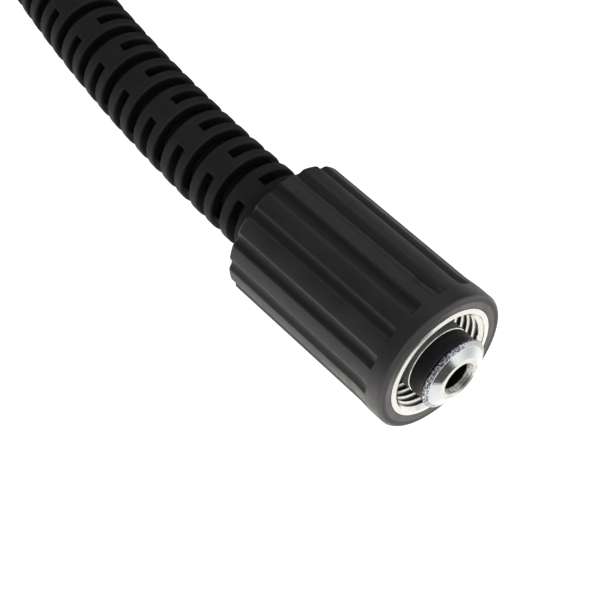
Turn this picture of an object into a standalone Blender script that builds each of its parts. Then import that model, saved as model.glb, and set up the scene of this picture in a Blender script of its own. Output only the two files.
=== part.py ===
"""Pressure washer hose: an M22 swivel coupling on each end of a coiled high-pressure hose.

Metres, +Z up. The near coupling lies along X on the floor with its nose towards +X, and the
origin is below its middle. The far coupling lies on the coil with its nose towards -X.
"""
import math

import bmesh
import bpy
from mathutils import Matrix, Vector

# Running clearance that touching pieces keep
GAP = 0.0003

# Swivel nut: moulded grip with flutes, and the metal insert inside its front
NUT_LENGTH = 0.043
COLLAR_RADIUS = 0.0151
COLLAR_LENGTH = 0.0040
EDGE_ROUND = 0.0008
RIB_RADIUS = 0.0149
RIB_REAR_RADIUS = 0.0148
RIB_COUNT = 15
RIB_PHASE = 25.3
FLUTE_DEPTH = 0.0005
FLUTE_RADIUS = 0.0026
SLEEVE_PASS = 0.0005

# Threaded insert
INSERT_RADIUS = 0.01215
INSERT_PROUD = 0.0002
INSERT_LENGTH = 0.0172
THREAD_RADIUS = 0.0102
THREAD_LENGTH = 0.0115
THREAD_LEAD = 0.0009
RELIEF_DEPTH = 0.0008
RELIEF_LENGTH = 0.0015
SHOULDER_RADIUS = 0.0088

# Nipple: the fixed nose that seals in the mating socket
NOSE_PROUD = 0.00496
NOSE_RADIUS = 0.0076
NOSE_TIP_RADIUS = 0.00464
NOSE_RIM = 0.0004
SHANK_RADIUS = 0.0073
BORE_RADIUS = 0.00307
TAIL_BORE_RADIUS = 0.0020
COUNTERSINK_RADIUS = 0.00357
COUNTERSINK_DEPTH = 0.00116
FLANGE_RADIUS = 0.0098
FLANGE_LENGTH = 0.0030
NECK_RADIUS = 0.0082
NECK_LENGTH = 0.0042
TAIL_LENGTH = 0.0200
BARB_COUNT = 3
BARB_HEIGHT = 0.0004

# Seal collar in the groove behind the nose disc
SEAL_RADIUS = 0.00725
SEAL_LENGTH = 0.0033
SEAL_WALL = 0.0019
SEAL_ROUND = 0.0004

# Hose
HOSE_RADIUS = 0.0060
HOSE_BORE_RADIUS = 0.0030

# Crimp ferrule
FERRULE_WALL = 0.0020
FERRULE_LENGTH = 0.0215
CRIMP_DEPTH = 0.0005
CRIMP_COUNT = 3
CRIMP_SLOPE = 0.25

# Bend restrictor sleeve behind the nut
SLEEVE_RADIUS = 0.0092
SLEEVE_REAR_RADIUS = 0.0083
SLEEVE_BEHIND_NUT = 0.0920
FIRST_SLOT = 0.0062
SLOT_PERIOD = 0.0094
SLOT_STEP = 0.00475
SLOT_COUNT = 9
WINDOW_WIDTH = 0.00245
GROOVE_WIDTH = 0.00285
BRIDGE_WIDTH = 0.0055
BRIDGE_SINK = 0.0010
BRIDGE_PHASE = 24.5
SLEEVE_BEND_START = 0.0070
SLEEVE_BEND_RADIUS = 0.4070

# Coil of the stored length: columns and layers of turns, lying flat behind the near coupling
COIL_MEAN_RADIUS = 0.0780
COIL_COLUMNS = 3
COIL_LAYERS = 3
COIL_ROUND = 0.0050
COIL_CENTRE = Vector((-0.1334, 0.1031, 0.0))

# Far coupling on the coil's top: its face and axis, from the coil's centre
FAR_FACE_X = -0.0905
FAR_AXIS_Y = -0.0480

# Near run: offsets from the sleeve's rear end, down to the floor and along the coil's side
NEAR_ROUTE = [
    (-0.0090, 0.0018, -0.0003),
    (-0.0215, 0.0037, -0.0019),
]

# Far run on the coil's top: angle and radius about the coil's centre, and rise above the coil
FAR_ROUTE = [
    (118.0, 0.0740, 0.0),
    (90.0, 0.0800, 0.0),
    (62.0, 0.0865, 0.0001),
    (34.0, 0.0912, 0.0008),
    (8.0, 0.0922, 0.0026),
    (-12.9, 0.0898, 0.0051),
    (-25.9, 0.0834, 0.0071),
    (-37.4, 0.0745, 0.0085),
    (-42.6, 0.0694, 0.0090),
]

# Spacing of the hose tube's points
ROUTE_STEP = 3
SLEEVE_STEP = 0.0150

# Facets around each kind of turned piece
GRIP_SIDES = 60
METAL_SIDES = 28
SLEEVE_SIDES = 20
COIL_SIDES = 48
HOSE_SIDES = 20
FLUTE_SIDES = 24
TUBE_RESOLUTION = 3
SMOOTH_ANGLE = 35.0

# How far a cutter stands out past the surface that it cuts
CUTTER_SPARE = 0.0028

# Share of a round corner that is left outside its middle, at 45 degrees
CORNER_SHARE = 1.0 - math.sqrt(0.5)


def clear_scene():
    for item in list(bpy.data.objects):
        bpy.data.objects.remove(item, do_unlink=True)


def collection(name):
    made = bpy.data.collections.new(name)
    bpy.context.scene.collection.children.link(made)
    return made


def material(name, colour, roughness, metallic=0.0):
    made = bpy.data.materials.new(name)
    made.use_nodes = True
    shader = made.node_tree.nodes["Principled BSDF"]
    shader.inputs["Base Color"].default_value = (*colour, 1.0)
    shader.inputs["Roughness"].default_value = roughness
    shader.inputs["Metallic"].default_value = metallic
    return made


def mesh_object(name, mesh, where, finish=None):
    made = bpy.data.objects.new(name, mesh)
    where.objects.link(made)
    if finish:
        mesh.materials.append(finish)
    return made


def turned(name, profile, sides, where, finish=None, phase=0.0):
    """Closed ring of (station, radius) points, front to back on the outer side, turned about X."""
    mesh = bpy.data.meshes.new(name)
    points = [(radius, 0.0, station) for station, radius in profile]
    edges = [(i, (i + 1) % len(points)) for i in range(len(points))]
    mesh.from_pydata(points, edges, [])
    made = mesh_object(name, mesh, where, finish)
    screw = made.modifiers.new("turn", "SCREW")
    screw.axis = "Z"
    screw.angle = 2.0 * math.pi
    screw.steps = sides
    screw.render_steps = sides
    screw.use_merge_vertices = True
    screw.merge_threshold = 0.00001
    screw.use_normal_calculate = False
    baked = bake(made)
    baked.transform(Matrix.Rotation(math.radians(phase), 4, "Z"))
    baked.transform(Matrix.Rotation(math.radians(90.0), 4, "Y"))
    made.modifiers.clear()
    made.data = baked
    return made


def bake(item):
    """Mesh of an object with its modifiers applied, in the object's own space."""
    bpy.context.view_layer.update()
    graph = bpy.context.evaluated_depsgraph_get()
    return bpy.data.meshes.new_from_object(item.evaluated_get(graph), depsgraph=graph)


def box_cutter(shape, size, matrix):
    cube = bmesh.ops.create_cube(shape, size=1.0)["verts"]
    bmesh.ops.transform(shape, matrix=matrix @ Matrix.Diagonal((*size, 1.0)), verts=cube)


def cutter_object(name, shape, where):
    mesh = bpy.data.meshes.new(name)
    shape.to_mesh(mesh)
    shape.free()
    made = mesh_object(name, mesh, where)
    made.hide_render = True
    made.display_type = "WIRE"
    return made


def cut(item, cutter):
    boolean = item.modifiers.new("cut", "BOOLEAN")
    boolean.operation = "DIFFERENCE"
    boolean.solver = "EXACT"
    boolean.object = cutter
    item.data = bake(item)
    item.modifiers.clear()


def nut_grip(name, parts, cutters, finish):
    """Grip: plain collar at the face, then ribs with concave flutes that run out at the back."""
    seat = INSERT_RADIUS + GAP
    rear_bore = SLEEVE_RADIUS + SLEEVE_PASS
    step = -(INSERT_LENGTH - INSERT_PROUD) - GAP
    profile = [
        (0.0, seat),
        (0.0, COLLAR_RADIUS - EDGE_ROUND),
        (-EDGE_ROUND * CORNER_SHARE, COLLAR_RADIUS - EDGE_ROUND * CORNER_SHARE),
        (-EDGE_ROUND, COLLAR_RADIUS),
        (-COLLAR_LENGTH, COLLAR_RADIUS),
        (-COLLAR_LENGTH, RIB_RADIUS),
        (-NUT_LENGTH, RIB_REAR_RADIUS),
        (-NUT_LENGTH, rear_bore),
        (step, rear_bore),
        (step, seat),
    ]
    grip = turned(name, profile, GRIP_SIDES, parts, finish)
    shape = bmesh.new()
    length = NUT_LENGTH - COLLAR_LENGTH + 2.0 * EDGE_ROUND
    middle = -COLLAR_LENGTH - length / 2.0
    reach = RIB_RADIUS - FLUTE_DEPTH + FLUTE_RADIUS
    for rib in range(RIB_COUNT):
        angle = math.radians(RIB_PHASE + (rib + 0.5) * 360.0 / RIB_COUNT)
        rod = bmesh.ops.create_cone(shape, cap_ends=True, segments=FLUTE_SIDES,
                                    radius1=FLUTE_RADIUS, radius2=FLUTE_RADIUS,
                                    depth=length)["verts"]
        place = (Matrix.Rotation(angle, 4, "X") @ Matrix.Translation((middle, 0.0, reach))
                 @ Matrix.Rotation(math.radians(90.0), 4, "Y"))
        bmesh.ops.transform(shape, matrix=place, verts=rod)
    cut(grip, cutter_object(name + "_flutes", shape, cutters))
    return grip


def nut_insert(name, parts, finish):
    """Threaded insert: lead chamfer, thread bore, relief and the shoulder that pulls the flange."""
    front = INSERT_PROUD
    back = front - INSERT_LENGTH
    thread_end = front - THREAD_LENGTH
    relief_end = thread_end - RELIEF_LENGTH
    profile = [
        (front, THREAD_RADIUS + THREAD_LEAD),
        (front, INSERT_RADIUS),
        (back, INSERT_RADIUS),
        (back, SHOULDER_RADIUS),
        (relief_end, SHOULDER_RADIUS),
        (relief_end, THREAD_RADIUS + RELIEF_DEPTH),
        (thread_end, THREAD_RADIUS + RELIEF_DEPTH),
        (thread_end, THREAD_RADIUS),
        (front - THREAD_LEAD, THREAD_RADIUS),
    ]
    return turned(name, profile, METAL_SIDES, parts, finish)


def flange_stations():
    """Front and back of the nipple's flange: its back bears on the insert's shoulder."""
    back = INSERT_PROUD - THREAD_LENGTH - RELIEF_LENGTH + GAP
    return back + FLANGE_LENGTH, back


def neck_end():
    return flange_stations()[1] - GAP - NECK_LENGTH


def nipple(name, parts, finish):
    """Nose disc with a chamfered tip, seal groove, shank, flange, neck and barbed tail."""
    disc_back = SEAL_LENGTH - GAP * 0.5
    seal_front = disc_back - GAP
    seal_back = seal_front - SEAL_LENGTH
    groove = SEAL_RADIUS - SEAL_WALL - GAP
    flange_front, flange_back = flange_stations()
    tail_start = neck_end()
    tail = HOSE_BORE_RADIUS - GAP
    profile = [
        (NOSE_PROUD, COUNTERSINK_RADIUS),
        (NOSE_PROUD, NOSE_TIP_RADIUS),
        (disc_back + NOSE_RIM, NOSE_RADIUS),
        (disc_back, NOSE_RADIUS),
        (disc_back, groove),
        (seal_back - GAP, groove),
        (seal_back - GAP, SHANK_RADIUS),
        (flange_front, SHANK_RADIUS),
        (flange_front, FLANGE_RADIUS),
        (flange_back, FLANGE_RADIUS),
        (flange_back, NECK_RADIUS),
        (tail_start, NECK_RADIUS),
        (tail_start, tail - BARB_HEIGHT),
    ]
    pitch = TAIL_LENGTH / BARB_COUNT
    for barb in range(BARB_COUNT):
        profile.append((tail_start - pitch * (barb + 0.5), tail))
        profile.append((tail_start - pitch * (barb + 1.0), tail - BARB_HEIGHT))
    profile.append((tail_start - TAIL_LENGTH, TAIL_BORE_RADIUS))
    profile.append((flange_back, TAIL_BORE_RADIUS))
    profile.append((flange_front, BORE_RADIUS))
    profile.append((NOSE_PROUD - COUNTERSINK_DEPTH, BORE_RADIUS))
    return turned(name, profile, METAL_SIDES, parts, finish)


def seal_ring(name, parts, finish):
    front = SEAL_LENGTH - GAP * 1.5
    back = front - SEAL_LENGTH
    inner = SEAL_RADIUS - SEAL_WALL
    profile = [
        (front, inner),
        (front, SEAL_RADIUS - SEAL_ROUND),
        (front - SEAL_ROUND, SEAL_RADIUS),
        (back + SEAL_ROUND, SEAL_RADIUS),
        (back, SEAL_RADIUS - SEAL_ROUND),
        (back, inner),
    ]
    return turned(name, profile, METAL_SIDES, parts, finish)


def ferrule(name, parts, finish):
    """Crimped sleeve behind the nipple's neck, with turned-down crimp bands."""
    front = neck_end() - GAP
    inner = HOSE_RADIUS + GAP
    outer = inner + FERRULE_WALL
    pitch = FERRULE_LENGTH / (2 * CRIMP_COUNT + 1)
    profile = [(front, inner), (front, outer)]
    for band in range(CRIMP_COUNT):
        start = front - pitch * (2 * band + 1)
        slope = pitch * CRIMP_SLOPE
        profile += [(start, outer), (start - slope, outer - CRIMP_DEPTH)]
        profile += [(start - pitch + slope, outer - CRIMP_DEPTH), (start - pitch, outer)]
    profile += [(front - FERRULE_LENGTH, outer), (front - FERRULE_LENGTH, inner)]
    return turned(name, profile, HOSE_SIDES, parts, finish)


def ferrule_end():
    return neck_end() - GAP - FERRULE_LENGTH


def hose_end(name, parts, finish):
    """Hose stub with its bore, gripped between the nipple's tail and the ferrule."""
    front = neck_end() - GAP
    back = ferrule_end()
    profile = [(front, HOSE_BORE_RADIUS), (front, HOSE_RADIUS),
               (back, HOSE_RADIUS), (back, HOSE_BORE_RADIUS)]
    return turned(name, profile, HOSE_SIDES, parts, finish)


def sleeve_rear():
    return -NUT_LENGTH - SLEEVE_BEHIND_NUT


def sleeve_taper(station):
    front = ferrule_end() - GAP
    share = (front - station) / (front - sleeve_rear())
    return SLEEVE_RADIUS + (SLEEVE_REAR_RADIUS - SLEEVE_RADIUS) * share


def bend_point(point, side):
    """Carry a straight point behind the bend's start along the sleeve's gentle arc."""
    past = -NUT_LENGTH - SLEEVE_BEND_START - point.x
    if past <= 0.0 or side == 0:
        return point.copy()
    angle = past / SLEEVE_BEND_RADIUS
    offset = SLEEVE_BEND_RADIUS - point.y * side
    x = -NUT_LENGTH - SLEEVE_BEND_START - offset * math.sin(angle)
    y = (SLEEVE_BEND_RADIUS - offset * math.cos(angle)) * side
    return Vector((x, y, point.z))


def bend_sleeve(name, parts, cutters, finish, side):
    """Slotted restrictor: windows beside two bridges, turned a quarter at every second slot."""
    front = ferrule_end() - GAP
    rear = sleeve_rear()
    inner = HOSE_RADIUS + GAP
    profile = [(front, inner), (front, SLEEVE_RADIUS),
               (rear, SLEEVE_REAR_RADIUS), (rear, inner)]
    sleeve = turned(name, profile, SLEEVE_SIDES, parts, finish, phase=180.0 / SLEEVE_SIDES)
    windows = bmesh.new()
    for slot in range(SLOT_COUNT):
        first = -NUT_LENGTH - FIRST_SLOT - slot * SLOT_PERIOD
        window_cutters(windows, first, WINDOW_WIDTH, BRIDGE_PHASE)
        window_cutters(windows, first - SLOT_STEP, GROOVE_WIDTH, BRIDGE_PHASE + 90.0)
    cut(sleeve, cutter_object(name + "_windows", windows, cutters))
    sunk = bmesh.new()
    for slot in range(SLOT_COUNT):
        station = -NUT_LENGTH - FIRST_SLOT - slot * SLOT_PERIOD - SLOT_STEP
        sunk_bridge_cutters(sunk, station)
    cut(sleeve, cutter_object(name + "_sunk", sunk, cutters))
    for vertex in sleeve.data.vertices:
        vertex.co = bend_point(vertex.co, side)
    return sleeve


def window_cutters(shape, station, width, phase):
    """Two boxes that leave a bridge of BRIDGE_WIDTH at the phase angle and opposite it."""
    turn = Matrix.Rotation(math.radians(phase), 4, "X")
    reach = SLEEVE_RADIUS + CUTTER_SPARE
    depth = reach - BRIDGE_WIDTH / 2.0
    for way in (-1.0, 1.0):
        middle = way * (BRIDGE_WIDTH / 2.0 + depth / 2.0)
        place = turn @ Matrix.Translation((station, middle, 0.0))
        box_cutter(shape, (width, depth, 2.0 * reach), place)


def sunk_bridge_cutters(shape, station):
    """Boxes that lower the second kind of bridge below the rings."""
    turn = Matrix.Rotation(math.radians(BRIDGE_PHASE + 90.0), 4, "X")
    low = sleeve_taper(station) - BRIDGE_SINK
    high = SLEEVE_RADIUS + CUTTER_SPARE
    for way in (-1.0, 1.0):
        place = turn @ Matrix.Translation((station, 0.0, way * (low + high) / 2.0))
        box_cutter(shape, (GROOVE_WIDTH, BRIDGE_WIDTH + 2.0 * GAP, high - low), place)


def coil_height():
    return COIL_LAYERS * 2.0 * HOSE_RADIUS


def coil_solid(name, parts, finish):
    """One turned ring of the coil's outer shape, with its bore, flat on the floor."""
    half = COIL_COLUMNS * HOSE_RADIUS
    outer = COIL_MEAN_RADIUS + half
    inner = COIL_MEAN_RADIUS - half
    top = coil_height()
    profile = [
        (top, inner + COIL_ROUND), (top, outer - COIL_ROUND),
        (top - COIL_ROUND, outer), (COIL_ROUND, outer),
        (0.0, outer - COIL_ROUND), (0.0, inner + COIL_ROUND),
        (COIL_ROUND, inner), (top - COIL_ROUND, inner),
    ]
    ring = turned(name, profile, COIL_SIDES, parts, finish)
    ring.data.transform(Matrix.Rotation(math.radians(-90.0), 4, "Y"))
    ring.data.transform(Matrix.Translation(COIL_CENTRE))
    return ring


def smooth_route(points, per_span):
    """Points of a Catmull-Rom curve through the route's own points."""
    ends = [2.0 * points[0] - points[1]] + points + [2.0 * points[-1] - points[-2]]
    out = []
    for i in range(1, len(ends) - 2):
        a, b, c, d = ends[i - 1:i + 3]
        for k in range(per_span):
            t = k / per_span
            out.append(0.5 * (2.0 * b + (c - a) * t + (2.0 * a - 5.0 * b + 4.0 * c - d) * t * t
                              + (3.0 * b - a - 3.0 * c + d) * t ** 3))
    return out + [points[-1]]


def hose_tube(name, points, parts, finish):
    curve = bpy.data.curves.new(name, "CURVE")
    curve.dimensions = "3D"
    curve.bevel_depth = HOSE_RADIUS
    curve.bevel_resolution = TUBE_RESOLUTION
    curve.use_fill_caps = True
    spline = curve.splines.new("POLY")
    spline.points.add(len(points) - 1)
    for slot, point in zip(spline.points, points):
        slot.co = (*point, 1.0)
    curve.materials.append(finish)
    made = bpy.data.objects.new(name, curve)
    parts.objects.link(made)
    return made


def near_place():
    """The near coupling's frame, with the middle of the coupling's own box above the origin."""
    rear_low = bend_point(Vector((sleeve_rear(), -SLEEVE_REAR_RADIUS, 0.0)), 1)
    rear_high = bend_point(Vector((sleeve_rear(), SLEEVE_REAR_RADIUS, 0.0)), 1)
    middle_x = (NOSE_PROUD + rear_low.x) / 2.0
    middle_y = (rear_high.y - COLLAR_RADIUS) / 2.0
    return Matrix.Translation((-middle_x, -middle_y, COLLAR_RADIUS))


def far_place():
    """The far coupling's frame: on top of the coil, nose towards -X."""
    face = COIL_CENTRE + Vector((FAR_FACE_X, FAR_AXIS_Y, coil_height() + GAP + COLLAR_RADIUS))
    return Matrix.Translation(face) @ Matrix.Rotation(math.pi, 4, "Z")


def sleeve_line(side):
    """Centre line of the hose inside the sleeve, front to back, in the coupling's frame."""
    front = ferrule_end() - GAP
    count = round((front - sleeve_rear()) / SLEEVE_STEP)
    stations = [front + (sleeve_rear() - front) * i / count for i in range(count + 1)]
    return [bend_point(Vector((station, 0.0, 0.0)), side) for station in stations]


def near_tube(parts, finish):
    """Hose from the near ferrule through its sleeve to the coil's outer side."""
    inside = [near_place() @ point for point in sleeve_line(1)]
    outside = [inside[-1] + Vector(offset) for offset in NEAR_ROUTE]
    route = smooth_route([inside[-2], inside[-1]] + outside, ROUTE_STEP)
    return hose_tube("hose_near_run", inside[:-2] + route, parts, finish)


def far_tube(parts, finish):
    """Hose from the coil's top, round the coil and through the far sleeve to its ferrule."""
    inside = [far_place() @ point for point in reversed(sleeve_line(0))]
    lying = coil_height() + HOSE_RADIUS + GAP
    outside = []
    for angle, radius, rise in FAR_ROUTE:
        turn = math.radians(angle)
        outside.append(COIL_CENTRE + Vector((radius * math.cos(turn), radius * math.sin(turn),
                                             lying + rise)))
    route = smooth_route(outside + inside[:2], ROUTE_STEP)
    return hose_tube("hose_far_run", route + inside[2:], parts, finish)


def coupling(prefix, place, parts, cutters, finishes, side):
    """All pieces of one coupling, built about its own axis and then placed."""
    black, steel, rubber, hose = finishes
    pieces = [
        nut_grip(prefix + "_nut_grip", parts, cutters, black),
        nut_insert(prefix + "_nut_insert", parts, steel),
        nipple(prefix + "_nipple", parts, steel),
        seal_ring(prefix + "_seal_ring", parts, rubber),
        ferrule(prefix + "_crimp_ferrule", parts, steel),
        hose_end(prefix + "_hose_end", parts, hose),
        bend_sleeve(prefix + "_bend_sleeve", parts, cutters, black, side),
    ]
    for piece in pieces:
        piece.matrix_world = place
        piece.data.shade_smooth()
        piece.data.set_sharp_from_angle(angle=math.radians(SMOOTH_ANGLE))
    return pieces


def main():
    clear_scene()
    parts = collection("pressure_washer_hose")
    cutters = collection("cutters")
    black = material("moulded_plastic", (0.028, 0.027, 0.028), 0.55)
    steel = material("zinc_plated_steel", (0.72, 0.73, 0.75), 0.28, 1.0)
    rubber = material("seal_rubber", (0.012, 0.012, 0.012), 0.45)
    hose = material("hose_cover", (0.022, 0.022, 0.022), 0.60)
    finishes = (black, steel, rubber, hose)
    coupling("near", near_place(), parts, cutters, finishes, 1)
    coupling("far", far_place(), parts, cutters, finishes, 0)
    coil_solid("hose_coil", parts, hose)
    near_tube(parts, hose)
    far_tube(parts, hose)


main()
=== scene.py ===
"""Looks of the pressure washer hose: detailed couplings, slotted sleeves and the coiled hose.

Every turned piece is made about its coupling's own X axis, face plane at station 0 and nose
towards +X, and is then placed by its object's matrix. Angles about the axis run from +Z
towards -Y.
"""
import math

import bmesh
import bpy
from mathutils import Matrix, Vector, noise


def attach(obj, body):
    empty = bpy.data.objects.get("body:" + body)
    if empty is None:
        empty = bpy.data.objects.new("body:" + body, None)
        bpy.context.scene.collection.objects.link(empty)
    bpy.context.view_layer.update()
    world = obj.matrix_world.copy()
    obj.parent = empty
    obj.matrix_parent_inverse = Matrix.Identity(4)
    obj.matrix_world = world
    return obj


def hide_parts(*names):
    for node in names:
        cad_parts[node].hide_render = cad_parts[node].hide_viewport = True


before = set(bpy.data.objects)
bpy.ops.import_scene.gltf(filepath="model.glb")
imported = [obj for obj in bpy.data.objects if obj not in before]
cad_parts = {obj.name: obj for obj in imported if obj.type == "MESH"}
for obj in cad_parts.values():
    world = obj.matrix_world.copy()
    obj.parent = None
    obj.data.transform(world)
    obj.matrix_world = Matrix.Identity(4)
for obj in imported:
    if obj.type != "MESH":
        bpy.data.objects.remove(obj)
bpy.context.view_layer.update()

# Coupling placements and the hose route's own values, as in the CAD source
GAP = 0.0003
NEAR_PLACE = Matrix.Translation((0.065572, -0.000932, 0.0151))
FAR_PLACE = Matrix.Translation((-0.2239, 0.0551, 0.0514)) @ Matrix.Rotation(math.pi, 4, "Z")
NUT_LENGTH = 0.043
FERRULE_END = -0.0388
SLEEVE_REAR = -0.1350
SLEEVE_STEP = 0.0150
SLEEVE_BEND_START = 0.0070
SLEEVE_BEND_RADIUS = 0.4070
HOSE_RADIUS = 0.0060
COIL_CENTRE = Vector((-0.1334, 0.1031, 0.0))
COIL_RADII = (0.0660, 0.0780, 0.0900)
LYING_HEIGHT = 0.0423
NEAR_ROUTE = [(-0.0090, 0.0018, -0.0003), (-0.0215, 0.0037, -0.0019),
              (-0.0413, 0.0046, -0.0074), (-0.0550, 0.0049, -0.0088)]
FAR_ROUTE = [(118.0, 0.0740, 0.0), (90.0, 0.0800, 0.0), (62.0, 0.0865, 0.0001),
             (34.0, 0.0912, 0.0008), (8.0, 0.0922, 0.0026), (-12.9, 0.0898, 0.0051),
             (-25.9, 0.0834, 0.0071), (-37.4, 0.0745, 0.0085), (-42.6, 0.0694, 0.0090)]

# The drawn hose: its tube's sides, steps between route points, and how its last stretch is evened
HOSE_SIDES = 24
ROUTE_POINTS = 4
EVEN_STEP = 0.008
EVEN_ROUNDS = 15
EVEN_PULL = 0.50
EVEN_PUSH = -0.51
ENDS_KEPT = 3

# Camera: direction towards it from the coupling, distance, how far right and down of its middle
# the coupling's face lies, and lens
CAMERA_AZIMUTH = math.radians(49.2)
CAMERA_ELEVATION = math.radians(50.5)
CAMERA_DISTANCE = 0.3752
CAMERA_RIGHT = 0.0256
CAMERA_DOWN = 0.0114
CAMERA_LENS = 123.5
CAMERA_SENSOR = 36.0
CAMERA_CLIP = 0.01
FACE_CENTRE = NEAR_PLACE.translation


def new_object(name, data):
    """Object of some data, linked to the scene."""
    made = bpy.data.objects.new(name, data)
    bpy.context.scene.collection.objects.link(made)
    return made


def make_camera():
    """Camera at the photograph's angle, on the near coupling."""
    a, e = CAMERA_AZIMUTH, CAMERA_ELEVATION
    back = Vector((math.sin(a) * math.cos(e), -math.cos(a) * math.cos(e), math.sin(e)))
    right = Vector((math.cos(a), math.sin(a), 0.0))
    up = back.cross(right)
    place = FACE_CENTRE + back * CAMERA_DISTANCE - right * CAMERA_RIGHT + up * CAMERA_DOWN
    lens = bpy.data.cameras.new("camera")
    lens.lens = CAMERA_LENS
    lens.sensor_width = CAMERA_SENSOR
    lens.clip_start = CAMERA_CLIP
    made = new_object("camera", lens)
    made.matrix_world = Matrix.Translation(place) @ Matrix((right, up, back)).transposed().to_4x4()
    bpy.context.scene.camera = made


def bend_point(point, side):
    """Carry a straight point behind the bend's start along the sleeve's arc."""
    past = -NUT_LENGTH - SLEEVE_BEND_START - point.x
    if past <= 0.0 or side == 0:
        return point.copy()
    angle = past / SLEEVE_BEND_RADIUS
    offset = SLEEVE_BEND_RADIUS - point.y * side
    x = -NUT_LENGTH - SLEEVE_BEND_START - offset * math.sin(angle)
    y = (SLEEVE_BEND_RADIUS - offset * math.cos(angle)) * side
    return Vector((x, y, point.z))


def smooth_route(points):
    """Catmull-Rom curve through the route's points, timed by their distances."""
    ends = [2.0 * points[0] - points[1]] + points + [2.0 * points[-1] - points[-2]]
    out = []
    for i in range(1, len(ends) - 2):
        a, b, c, d = ends[i - 1:i + 3]
        first, span, last = ((q - p).length ** 0.5 for p, q in ((a, b), (b, c), (c, d)))
        leave = (c - b) + ((b - a) / first - (c - a) / (first + span)) * span
        reach = (c - b) + ((d - c) / last - (d - b) / (span + last)) * span
        for k in range(ROUTE_POINTS):
            t = k / ROUTE_POINTS
            out.append(b + leave * (t ** 3 - 2.0 * t ** 2 + t)
                       + (c - b) * (3.0 * t ** 2 - 2.0 * t ** 3)
                       + reach * (t ** 3 - t ** 2))
    return out + [points[-1]]


def even_steps(points):
    """The same route with points at even distances."""
    spans = [(after - before).length for before, after in zip(points, points[1:])]
    whole = sum(spans)
    count = round(whole / EVEN_STEP)
    out = [points[0]]
    i, passed = 0, 0.0
    for k in range(1, count):
        target = whole * k / count
        while passed + spans[i] < target:
            passed += spans[i]
            i += 1
        out.append(points[i].lerp(points[i + 1], (target - passed) / spans[i]))
    return out + [points[-1]]


def evened(points):
    """Spread a route's bends without shrinking it; its first and last points stay."""
    for _ in range(EVEN_ROUNDS):
        for way in (EVEN_PULL, EVEN_PUSH):
            inner = [b + ((a + c) / 2.0 - b) * way
                     for a, b, c in zip(points, points[1:], points[2:])]
            points = points[:ENDS_KEPT] + inner[ENDS_KEPT - 1:1 - ENDS_KEPT] + points[-ENDS_KEPT:]
    return points


def sleeve_line(side):
    """Centre line of the hose inside the sleeve, front to back, in the coupling's frame."""
    front = FERRULE_END - GAP
    count = round((front - SLEEVE_REAR) / SLEEVE_STEP)
    stations = [front + (SLEEVE_REAR - front) * i / count for i in range(count + 1)]
    return [bend_point(Vector((station, 0.0, 0.0)), side) for station in stations]


def eased(value, low, high):
    """0 before low, 1 after high, and a cosine ease between them."""
    share = min(1.0, max(0.0, (value - low) / (high - low)))
    return 0.5 - 0.5 * math.cos(math.pi * share)


# Where the turns change column, in degrees travelled: from and to, outward (1) or inward (-1)
SHIFTS = [(262.0, 350.0, -1), (622.0, 710.0, -1), (1270.0, 1342.0, 1), (1630.0, 1702.0, 1),
          (2350.0, 2422.0, -1), (2710.0, 2782.0, -1)]
# Where they climb a layer: from and to, and how far they bulge half-way
RISES = [(940.0, 1070.0, -0.0045), (1976.0, 2053.0, 0.0041)]
# Where the last turn rises and widens to meet the route to the far coupling
LAST_RISE = (2940.0, 3000.0)
LAST_SPREAD = (2940.0, 3032.0)
COIL_START = 14.0
COIL_END = 3020.0
COIL_STEP = 7.0
TOP_LAYER = 5.0 * HOSE_RADIUS


def coil_point(travelled):
    """A point of the coiled hose: it runs clockwise, column by column and layer by layer."""
    pitch = 2.0 * HOSE_RADIUS
    radius = COIL_RADII[-1]
    height = HOSE_RADIUS
    for low, high, way in SHIFTS:
        radius += way * pitch * eased(travelled, low, high)
    for low, high, bulge in RISES:
        share = eased(travelled, low, high)
        height += pitch * share
        radius += bulge * math.sin(math.pi * share)
    height += (LYING_HEIGHT - TOP_LAYER) * eased(travelled, *LAST_RISE)
    radius += (FAR_ROUTE[0][1] - COIL_RADII[0]) * eased(travelled, *LAST_SPREAD)
    angle = math.radians(-90.0 - travelled)
    return COIL_CENTRE + Vector((radius * math.cos(angle), radius * math.sin(angle), height))


def hose_points():
    """The whole hose from the near ferrule through the coil to the far ferrule."""
    inside = [NEAR_PLACE @ point for point in sleeve_line(1)]
    outside = [inside[-1] + Vector(offset) for offset in NEAR_ROUTE]
    steps = round((COIL_END - COIL_START) / COIL_STEP)
    coil = [coil_point(COIL_START + (COIL_END - COIL_START) * i / steps) for i in range(steps + 1)]
    far = []
    for angle, radius, rise in FAR_ROUTE:
        turn = math.radians(angle)
        far.append(COIL_CENTRE + Vector((radius * math.cos(turn), radius * math.sin(turn),
                                         LYING_HEIGHT + rise)))
    far_inside = [FAR_PLACE @ point for point in reversed(sleeve_line(0))]
    joining = smooth_route(inside[-2:] + outside + coil[:2])
    leaving = smooth_route(coil[-2:] + far + far_inside[:2])
    leaving = evened(even_steps(leaving))
    return inside[:-2] + joining[:-1] + coil[1:-2] + leaving + far_inside[2:]


def finish_mesh(name, shape, sharp=40.0):
    """Object of a finished shape, smooth apart from its edges over the sharp angle in degrees."""
    bmesh.ops.recalc_face_normals(shape, faces=shape.faces)
    mesh = bpy.data.meshes.new(name)
    shape.to_mesh(mesh)
    shape.free()
    mesh.shade_smooth()
    mesh.set_sharp_from_angle(angle=math.radians(sharp))
    return new_object(name, mesh)


def tube_frames(points):
    """Two directions across the tube at each point, carried along it without twist."""
    across = Vector((0.0, 0.0, 1.0))
    frames = []
    for i, point in enumerate(points):
        before, after = points[max(0, i - 1)], points[min(len(points) - 1, i + 1)]
        along = (after - before).normalized()
        across = (across - along * across.dot(along)).normalized()
        frames.append((across, along.cross(across)))
    return frames


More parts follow.
